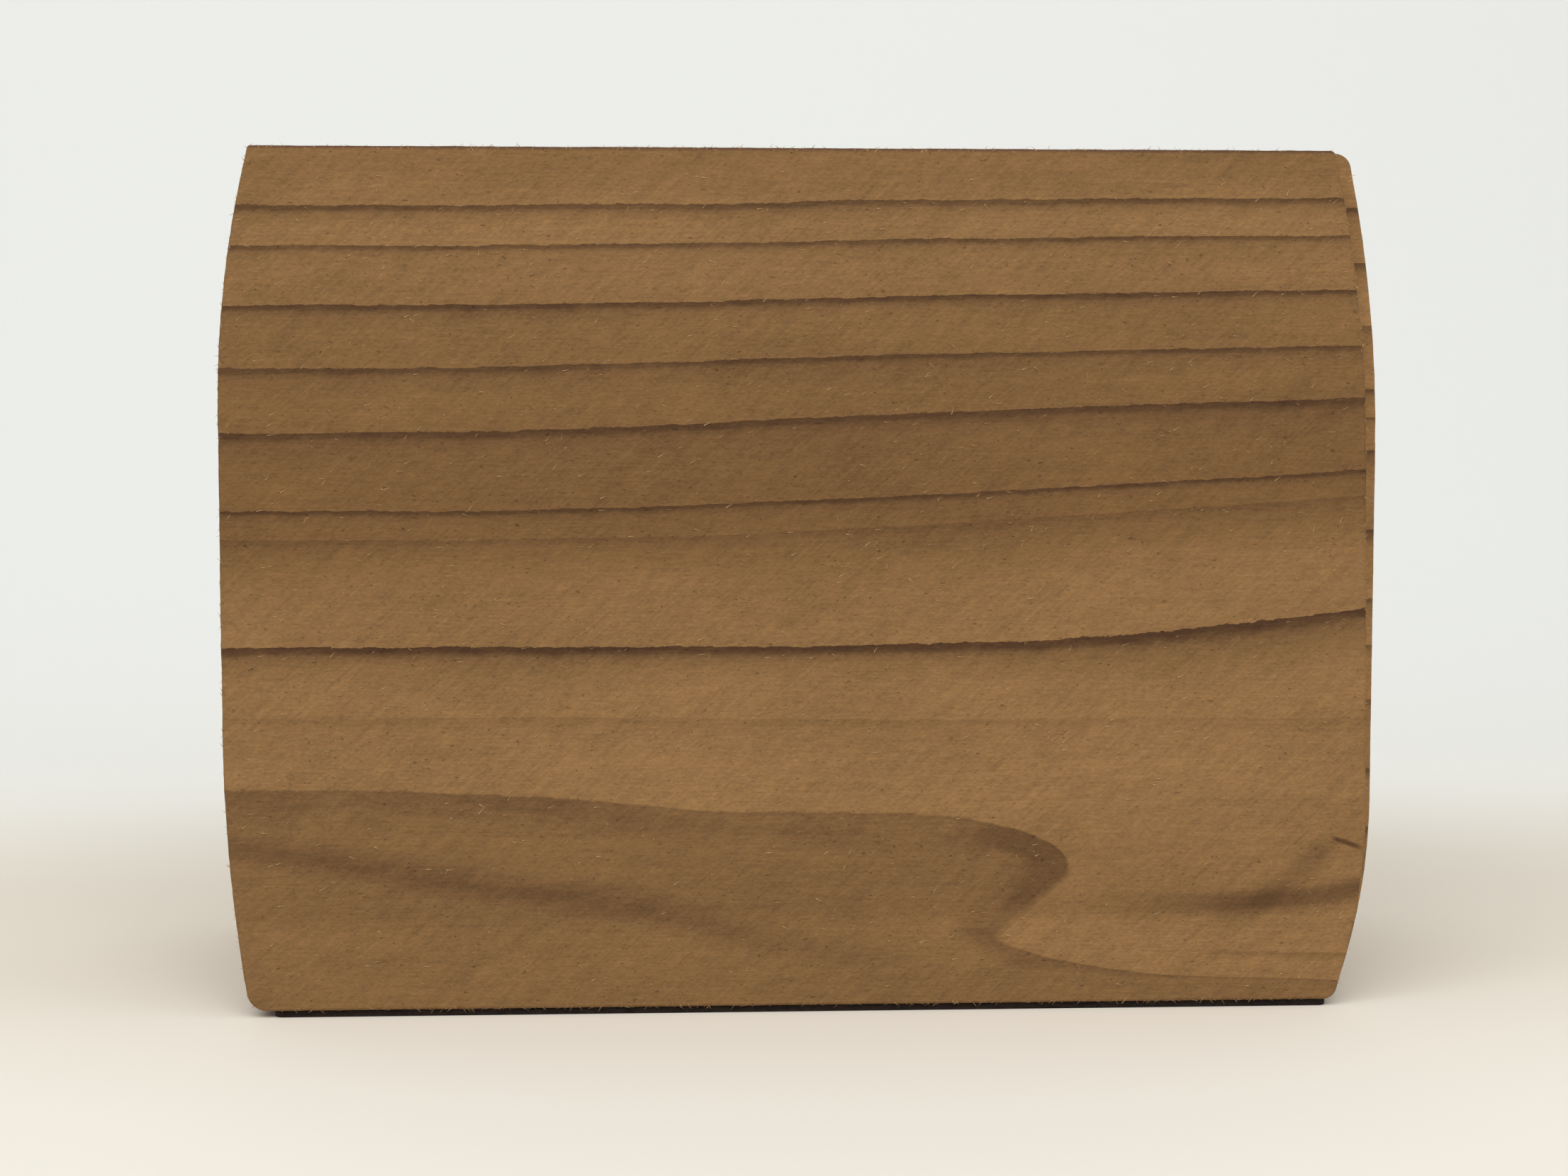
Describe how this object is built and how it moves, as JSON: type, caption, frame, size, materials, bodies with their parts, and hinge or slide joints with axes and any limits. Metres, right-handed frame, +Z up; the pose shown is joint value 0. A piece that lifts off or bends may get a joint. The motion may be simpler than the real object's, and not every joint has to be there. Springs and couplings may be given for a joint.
{
  "type": "box bass drum",
  "caption": "Palm-size hollow cedar box drum with bulged ends, a bare playing board in front, a round sound port in its screwed back board and thin felt runners.",
  "frame": {"origin": "on the floor, at the centre of the drum's box", "axes": "+Z up, +X to the right seen from the front, the playing board faces -Y"},
  "size_m": [0.1064, 0.0468, 0.079],
  "materials": {
    "cedar_playing_board": "sanded bare cedar, grain side to side",
    "cedar_ring_front": "sanded bare cedar, end grain at the curved ends",
    "cedar_ring_middle": "sanded bare cedar, end grain at the curved ends",
    "cedar_ring_back": "sanded bare cedar, end grain at the curved ends",
    "cedar_back_board": "sanded bare cedar, grain side to side",
    "beech_dowel": "plain turned beech",
    "spruce_bar": "planed spruce",
    "port_hardwood": "oiled turned walnut",
    "brass": "brushed, slightly tarnished brass",
    "foot_felt": "thin black-brown pressed felt",
    "pad_felt": "grey pressed wool felt",
    "gasket_cork": "fine-grained sheet cork"
  },
  "bodies": {
    "root": {"front_board": "cedar_playing_board", "front_board_dowels": "beech_dowel", "front_bar_left": "spruce_bar", "front_bar_right": "spruce_bar", "body_ring_front": "cedar_ring_front", "ring_dowels_front": "beech_dowel", "body_ring_middle": "cedar_ring_middle", "ring_dowels_back": "beech_dowel", "body_ring_back": "cedar_ring_back", "back_gasket": "gasket_cork", "back_board": "cedar_back_board", "back_board_dowels": "beech_dowel", "back_bar_left": "spruce_bar", "back_bar_right": "spruce_bar", "damping_pad": "pad_felt", "port_ring": "port_hardwood", "back_cup_washers": "brass", "back_screws": "brass", "foot_runner_front": "foot_felt", "foot_runner_back": "foot_felt"}
  },
  "joints": []
}
